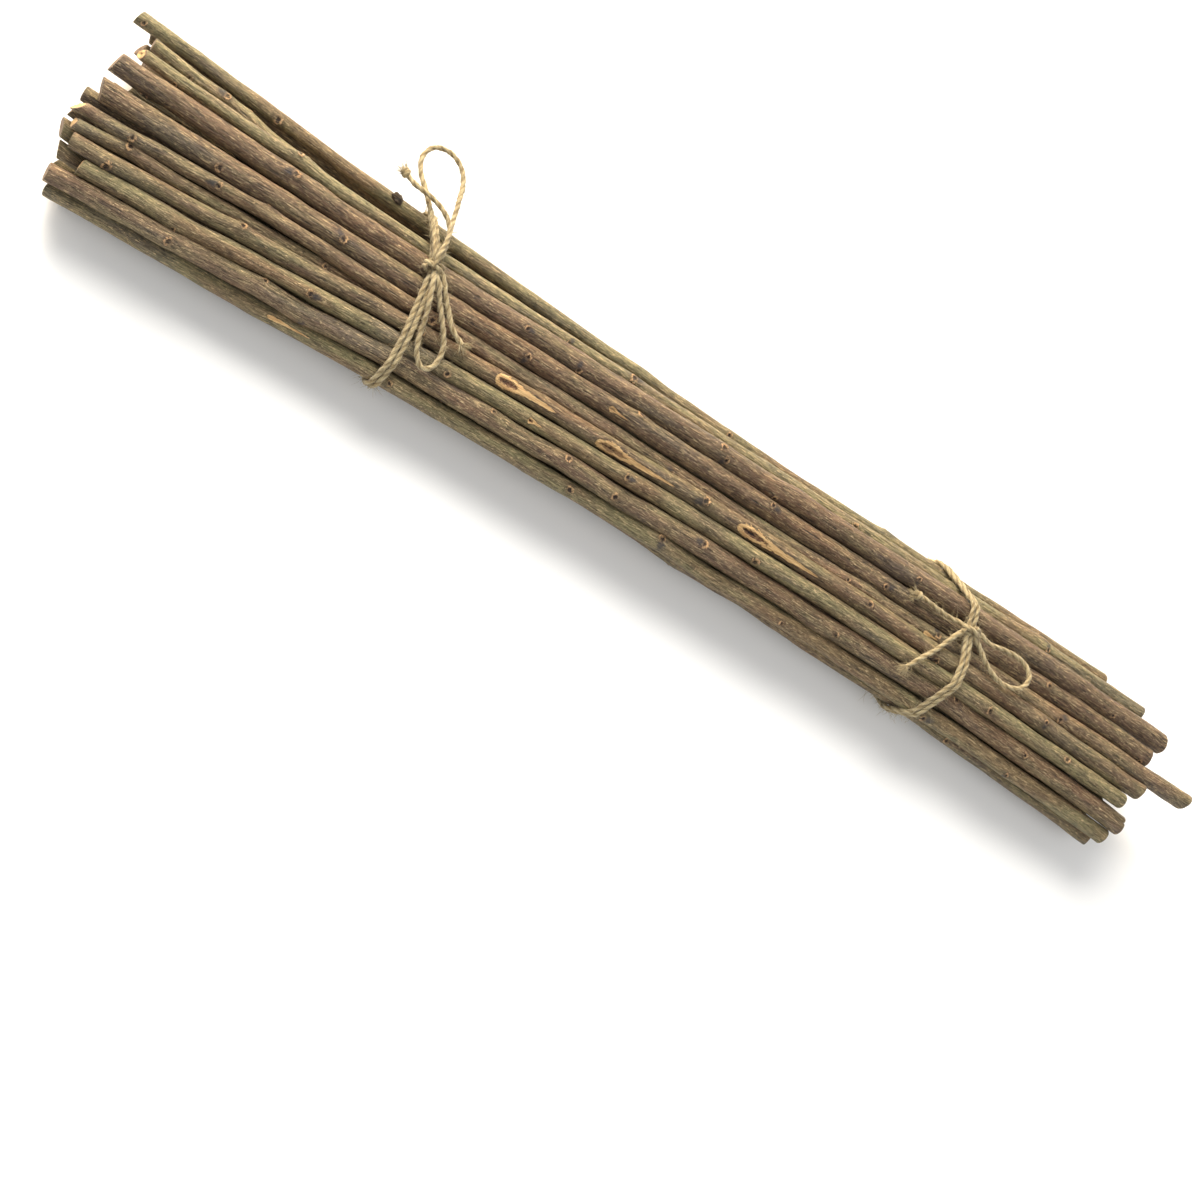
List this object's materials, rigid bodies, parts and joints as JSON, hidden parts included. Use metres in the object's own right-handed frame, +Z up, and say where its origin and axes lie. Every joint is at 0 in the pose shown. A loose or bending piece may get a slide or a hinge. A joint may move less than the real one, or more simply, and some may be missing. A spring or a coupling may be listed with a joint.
{
  "type": "bundle of twigs",
  "caption": "Long bundle of straight bark-covered twigs, fanned at one end and held by jute twine bands tied in small bows.",
  "frame": {"origin": "on the surface that the bundle lies on, under the middle of its length and width (bows left out)", "axes": "+X along the bundle from its fanned, wide end to its narrow end, +Z up, the knots on top"},
  "size_m": [0.4987, 0.097, 0.0401],
  "materials": {
    "bark": "dry grey-brown bark with fine ridges, pale cut ends",
    "twine": "twisted undyed jute, matt and slightly hairy"
  },
  "bodies": {
    "root": {"twig_01": "bark", "twig_02": "bark", "twig_03": "bark", "twig_04": "bark", "twig_05": "bark", "twig_06": "bark", "twig_07": "bark", "twig_08": "bark", "twig_09": "bark", "twig_10": "bark", "twig_11": "bark", "twig_12": "bark", "twig_13": "bark", "twig_14": "bark", "twig_15": "bark", "twig_16": "bark", "twig_17": "bark", "twig_18": "bark", "twig_19": "bark", "twig_20": "bark", "twig_21": "bark", "twig_22": "bark", "twig_23": "bark", "twig_24": "bark", "twig_25": "bark", "twig_26": "bark", "twig_27": "bark", "twig_28": "bark", "twig_29": "bark", "twig_30": "bark", "twig_31": "bark", "twig_32": "bark", "twig_33": "bark", "twine_band_wide_end": "twine", "twine_band_narrow_end": "twine", "twine_upper_loop_wide_end": "twine", "twine_upper_tail_wide_end": "twine", "twine_lower_loop_wide_end": "twine", "twine_lower_tail_wide_end": "twine", "twine_loop_narrow_end": "twine", "twine_upper_tail_narrow_end": "twine", "twine_lower_tail_narrow_end": "twine"}
  },
  "joints": []
}
